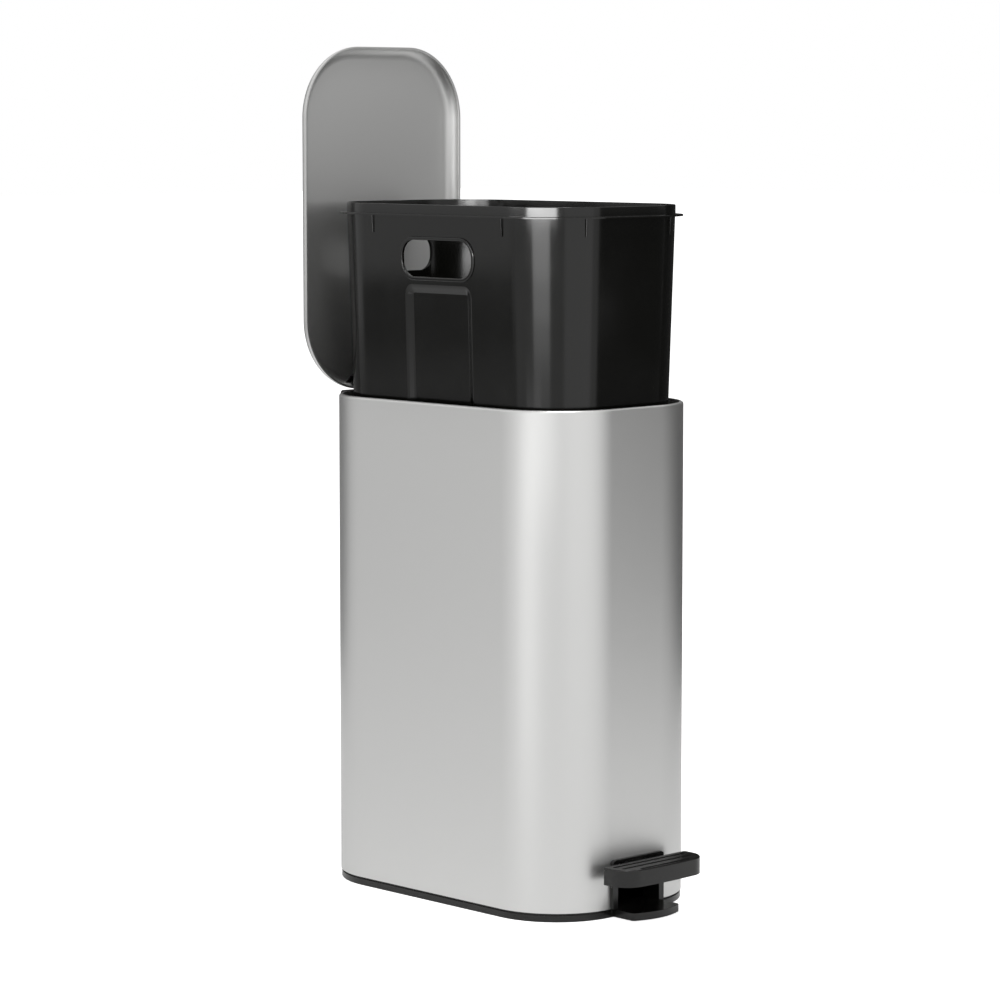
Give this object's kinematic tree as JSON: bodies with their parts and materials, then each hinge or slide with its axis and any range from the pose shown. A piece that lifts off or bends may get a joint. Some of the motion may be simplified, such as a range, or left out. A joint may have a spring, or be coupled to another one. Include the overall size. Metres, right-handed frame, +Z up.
{
  "type": "slim step trash can",
  "caption": "Slim brushed steel step can with an upright open lid, a half lifted black inner bucket with finger holes, and a front pedal that works a rear push rod.",
  "frame": {"origin": "centre of the base tray's underside, on the floor, midway along and across the sleeve", "axes": "+Z up, -Y towards the pedal (front), +X to the right seen from the front"},
  "size_m": [0.2588, 0.4912, 0.9885],
  "materials": {
    "brushed_steel": "vertical brushing, satin",
    "satin_black_plastic": "smooth satin injection-moulded plastic",
    "matte_black_plastic": "fine matte moulded texture",
    "zinc_plated_steel": "plain zinc-plated",
    "black_rubber": "matte"
  },
  "bodies": {
    "body": {"outer_sleeve": "brushed_steel", "base_tray": "matte_black_plastic", "rubber_foot_1": "black_rubber", "rubber_foot_2": "black_rubber", "rubber_foot_3": "black_rubber", "rubber_foot_4": "black_rubber", "pedal_surround": "matte_black_plastic", "pedal_axle": "zinc_plated_steel", "axle_cap_left": "zinc_plated_steel", "axle_cap_right": "zinc_plated_steel", "pedal_spring": "zinc_plated_steel", "rod_guide_lower": "matte_black_plastic", "rod_guide_upper": "matte_black_plastic", "hinge_block": "matte_black_plastic", "hinge_pin": "zinc_plated_steel", "hinge_screw_left": "zinc_plated_steel", "hinge_screw_right": "zinc_plated_steel"},
    "lid": {"lid_shell": "brushed_steel", "lid_bracket": "matte_black_plastic", "lid_stud_left": "zinc_plated_steel", "lid_stud_right": "zinc_plated_steel", "lid_nut_left": "zinc_plated_steel", "lid_nut_right": "zinc_plated_steel", "lid_cross_pin": "zinc_plated_steel"},
    "bucket": {"inner_bucket": "satin_black_plastic"},
    "pedal": {"pedal_lever": "zinc_plated_steel", "pedal_pad": "matte_black_plastic", "pedal_screw_1": "zinc_plated_steel", "pedal_screw_2": "zinc_plated_steel"},
    "rod": {"push_rod": "zinc_plated_steel"}
  },
  "joints": [
    {"name": "lid_hinge", "type": "hinge", "parent": "body", "child": "lid", "pos_m": [0, 0.2082, 0.5761], "axis": [-1, 0, 0], "range_deg": [-5.5, 0]},
    {"name": "bucket_lift", "type": "slide", "parent": "body", "child": "bucket", "axis": [0, 0, 1], "range_m": [-0.2125, 0.37]},
    {"name": "pedal_hinge", "type": "hinge", "parent": "body", "child": "pedal", "pos_m": [0, 0.026, 0.023], "axis": [1, 0, 0], "range_deg": [0, 5.2], "stiffness_Nm_per_rad": 2, "springref_deg": -20.05, "deforming": ["pedal_spring"]},
    {"name": "rod_slide", "type": "slide", "parent": "body", "child": "rod", "axis": [0, 0, 1], "range_m": [0, 0.016]}
  ],
  "couplings": [
    {"joint": "rod_slide", "follows": "pedal_hinge", "m_per_rad": 0.1737}
  ]
}
